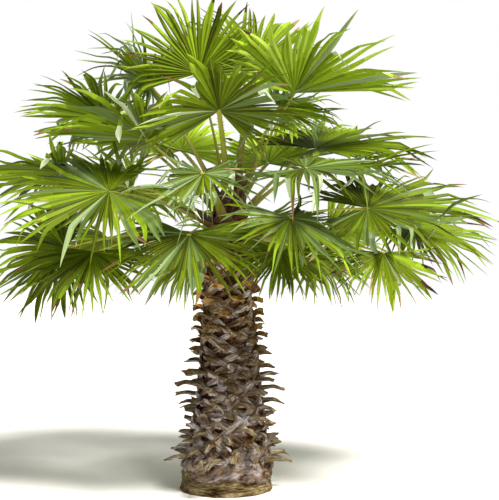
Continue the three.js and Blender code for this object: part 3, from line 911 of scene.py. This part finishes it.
def leafletFaces():  # one leaflet's faces, each with its row, if it is on top, if on the rib and its side
    rows, columns = leafletRows, len(blade["columns"])
    per = 2 * columns - 2
    under = [0] + [columns + k for k in range(columns - 2)] + [columns - 1]
    faces, marks = [], []
    for row in range(rows):
        a, b = row * per, (row + 1) * per
        for c in range(columns - 1):
            rib = c == columns // 2 - 1
            if row < rows - 1:
                faces.append((a + c, b + c, b + c + 1, a + c + 1))
                faces.append((a + under[c], a + under[c + 1], b + under[c + 1], b + under[c]))
            else:
                faces.append((a + c, rows * per, a + c + 1))
                faces.append((a + under[c], a + under[c + 1], rows * per))
            side = -1 if c < columns // 2 - 1 else 1
            marks.extend([(row, True, rib, side), (row, False, rib, side)])
    for c in range(columns - 1):
        corners = (c, c + 1, under[c + 1], under[c])
        faces.append(tuple(dict.fromkeys(corners)))
        marks.append((0, False, False, 1))
    return faces, marks


faceList, faceMarks = leafletFaces()


def placeAt(distance, spine, at):  # the place on a leaflet's spine at a distance from the hub
    return np.array([np.interp(at, distance, spine[:, k]) for k in range(3)])


def leafletPoints(frond, leaflet, length, lean):  # one leaflet's points, row by row from the hub outwards
    columns = np.array(blade["columns"])
    joints = np.minimum(leaflet["joints"], blade["latestJoint"] * length)
    distance = np.concatenate([
        np.linspace(blade["start"], joints.min(), blade["joinedSpans"] + 1),
        np.linspace(joints.min(), length, blade["freeSpans"] + 1)[1:],
    ])
    sides = []
    for joint in joints:  # each half of the leaflet narrows from where it parts from its neighbour
        u = np.clip((distance - joint) / (length - joint), 0, 1)
        width = np.where(u > 0, joint * (1 - u ** blade["taper"]), distance)
        width = width * (1 + leaflet["broader"] * np.sin(np.pi * u))
        sides.append(width * math.tan(math.radians(leaflet["half"])))
    wide = np.where(columns < 0, sides[0][:, None], sides[1][:, None])
    free = np.clip((distance - joints.max()) / (length - joints.max()), 0, 1)
    angle = leaflet["angle"] + np.degrees(wide / distance[:, None]) * columns
    angle = angle + leaflet["sway"] * free[:, None]
    away = np.repeat(distance[:, None], len(columns), axis=1)
    ripple = np.sin(np.radians(angle * frond["ripples"]) + frond["phase"])
    lift = blade["pleat"] * wide * (np.abs(columns) - 0.5)
    lift = lift + blade["wave"] * away ** 2 / frond["reach"] * ripple
    thick = blade["thick"] * (1 - columns ** 2) * mix(1.0, blade["tipThick"], free)[:, None]
    top = fanPoints(frond, angle, away, lift + thick / 2)
    low = fanPoints(frond, angle, away, lift - thick / 2)
    points = np.concatenate([top, low[:, 1:-1]], axis=1)
    spine = points.mean(axis=1)
    row = min(int(np.searchsorted(distance, joints.max() - 1e-9)), len(distance) - 2)
    ahead = unit(spine[row] - spine[0])
    twistBy, swingBy = blade["turnedBy"]
    points = turned(points, spine, ahead, math.radians(leaflet["twist"]) * ease(free, 0, twistBy))
    axis = unit(points[row, len(columns) - 1] - points[row, 0])
    swing = math.radians(leaflet["swing"] + lean) * ease(free, 0, swingBy)
    points = turned(points, np.tile(spine[row], (len(distance), 1)), axis, swing)
    if leaflet["bendAt"] < length:
        spine = points.mean(axis=1)
        pivot = placeAt(distance, spine, leaflet["bendAt"])
        axis = np.cross(placeAt(distance, spine, leaflet["bendAt"] + blade["bendStep"]) - pivot, -up)
        if np.linalg.norm(axis) > 1e-4:
            past = np.clip((distance - leaflet["bendAt"]) / blade["bendOver"], 0, 1)
            bend = math.radians(leaflet["bend"]) * past
            points = turned(points, np.tile(pivot, (len(distance), 1)), unit(axis), bend)
    return points


def sheetTree(leaflets, firstRow):  # the upper sides alone, coarse, for the test against other pieces
    corners, faces = [], []
    for points in leaflets:
        first = len(corners)
        corners.extend(Vector(v) for v in points[:, sheetColumns].reshape(-1, 3))
        for row in range(firstRow, leafletRows - 1):
            for c in range(2):
                a = first + row * 3 + c
                faces.append((a, a + 3, a + 4, a + 1))
    return BVHTree.FromPolygons(corners, faces)


shading = {
    "side": 0.45,  # painted light and shade: one half of each pleat is painted lighter than the other
    "along": (-1.2, 0.8),  # and painted shade darkens a leaflet at the hub; it is lighter at its tip
    # under is painted shade: a leaflet's underside is painted darker
    "under": 0.3, "stray": 0.8, "wave": 1.8, "waxyWave": 1.6,
    "waveScale": (0.4, 7), "waxyScale": (0.22, 9),  # from leaflet to leaflet, and from fan to fan
    "grey": (1.4, 0.5, 0.5),  # a middling leaflet's grey step, and how far its tone and chance move it
    "middle": 3, "ribLighter": 0.1,
    "ribSteps": 2.5,  # how many steps of the leaf's tones make one of the rib's
    "spots": 0.1, "spotsFrom": 3, "dry": 0.1, "dryRows": (1, 4),
}
torn = {
    "split": 0.9, "swing": 2.5,  # a fan with many bent leaflets is split deeper and strays more
    "shorter": 0.74, "broader": 0.55,  # a bent leaflet has lost its thin end, and the rest lies open
    "bendAt": (0.36, 0.56), "bend": (60, 130), "rows": 6, "pale": 0.3,
}


def nearest(value, tones):
    return int(np.clip(round(value), 0, len(tones) - 1))


def leafletSlots(leaflet, spotted):
    tone = leaflet["tone"]
    middle, share, chance = shading["grey"]
    grey = middle + share * (tone - shading["middle"]) + dice.normal(0, chance)
    greyTone = nearest(grey, greyTones)
    spots = dice.random(len(faceMarks)) < spotted
    slots = []
    for (row, upper, rib, side), spot in zip(faceMarks, spots):
        bent = row >= leaflet["bentRow"]
        # painted light and shade: the lighter or darker pleat half, shade darkening the hub end, and shade
        # on the underside
        shade = tone + shading["side"] * side + mix(*shading["along"], row / leafletRows)
        shade -= 0 if upper else shading["under"]
        if row >= leaflet["dryRow"] or (spot and row > shading["spotsFrom"]):
            slots.append(dryFrom + leaflet["dryTone"])
        elif rib and not bent:
            slots.append(ribFrom + nearest((shade + shading["ribLighter"]) / shading["ribSteps"], ribTones))
        elif leaflet["waxy"] or bent:
            paler = 1 + leaflet["pale"] if bent else 0
            slots.append(greyFrom + min(greyTone + paler, len(greyTones) - 1))
        else:
            slots.append(nearest(shade, leafTones))
    return slots


def fullLength(frond, angle):
    return frond["reach"] * (1 - blade["sideShorter"] * (abs(angle) / blade["openSpread"]) ** 2)


def planLeaflets(frond):  # a fan's leaflets, from one side of its stalk to the other
    count = max(blade["fewest"], round(blade["openLeaflets"] * frond["spread"] / blade["openSpread"]))
    half = frond["spread"] / count
    swing = blade["swing"] * (1 + torn["swing"] * frond["bent"])
    dryness = 1 + 2 * frond["dry"]
    edges = [-frond["spread"] + 2 * half * k for k in range(count + 1)]
    joints = []
    for edge in edges:
        span = blade["longJoined"] if dice.random() < blade["longShare"] else blade["joined"]
        joint = fullLength(frond, edge) * mix(*span, dice.random())
        joints.append(joint * (1 - torn["split"] * frond["bent"]))
    x, _, z = frond["hub"]
    waveStep, waveApart = shading["waveScale"]
    waxyStep, waxyApart = shading["waxyScale"]
    leaflets = []
    for k in range(count):
        angle = edges[k] + half
        full = fullLength(frond, angle)
        wave = noise.noise(Vector((k * waveStep, x * waveApart, z * waveApart)))
        waxyWave = noise.noise(Vector((k * waxyStep, z * waxyApart, x * waxyApart)))
        bent = dice.random() < frond["bent"]
        dry = dice.random() < frond["dry"] + shading["dry"]
        bendAt = torn["bendAt"] if bent else blade["bendAt"]
        leaflets.append({
            "angle": angle,
            "half": half,
            "joints": np.array(joints[k:k + 2]),
            "full": full * mix(*blade["lengths"], dice.random()) * (torn["shorter"] if bent else 1),
            "broader": torn["broader"] if bent else 0,
            "twist": dice.normal(0, blade["twist"]),
            "swing": dice.normal(0, swing) + blade["waveSwing"] * wave,
            "sway": dice.normal(0, blade["sway"]),
            "bendAt": full * mix(*bendAt, dice.random()),
            "bend": mix(*torn["bend"], dice.random()) if bent else blade["bend"] * dice.random() ** 3,
            "bentRow": leafletRows - torn["rows"] if bent else leafletRows,
            "dryRow": (leafletRows - int(dice.integers(*shading["dryRows"]) * dryness)
                       if dry else leafletRows),
            "dryTone": int(dice.integers(0, len(dryTones))),
            "pale": int(vary(k, 60) < torn["pale"]),
            "waxy": dice.random() < frond["waxy"] * (1 + shading["waxyWave"] * waxyWave),
            # tone: the fan's painted light and shade, plus each leaflet's own tone that differs at random
            "tone": frond["light"] + shading["wave"] * wave + dice.normal(0, shading["stray"]),
        })
    return leaflets


def growLeaflet(frond, leaflet, taken):  # leans, then shortens the leaflet until it crosses no other piece
    for share in blade["shares"]:
        for lean in blade["leans"]:
            points = leafletPoints(frond, leaflet, leaflet["full"] * share, lean)
            sheet = sheetTree([points], 3)
            if not any(sheet.overlap(other) for other in taken):
                return points
    return points


def makeFan(frond, taken):
    shape = newShape()
    grown = []
    for leaflet in planLeaflets(frond):
        points = growLeaflet(frond, leaflet, taken)
        corners = np.vstack([points[:-1].reshape(-1, 3), points[-1].mean(axis=0)])
        addFaces(shape, corners, faceList, leafletSlots(leaflet, frond["dry"] * shading["spots"]))
        grown.append(points)
    piece = makePiece("fan_leaflets_" + frond["number"], shape, leafMaterials, blade["smooth"])
    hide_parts("fan_" + frond["number"])
    return piece, sheetTree(grown, 0)


def treeOf(piece):
    corners = [v.co for v in piece.data.vertices]
    return BVHTree.FromPolygons(corners, [tuple(p.vertices) for p in piece.data.polygons])


stalkTrees = [treeOf(stalk) for stalk in stalks]
fanTrees = []
fans = []
for index, frond in enumerate(frames):
    others = stalkTrees[:index] + stalkTrees[index + 1:] + fanTrees
    fan, fanTree = makeFan(frond, others)
    fans.append(fan)
    fanTrees.append(fanTree)
print("fans", len(fans), "faces", sum(len(fan.data.polygons) for fan in fans))

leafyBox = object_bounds()
for label, box in (("CAD box", plainBox), ("visual box", leafyBox)):
    print(label, [tuple(round(c, 3) for c in v) for v in box])
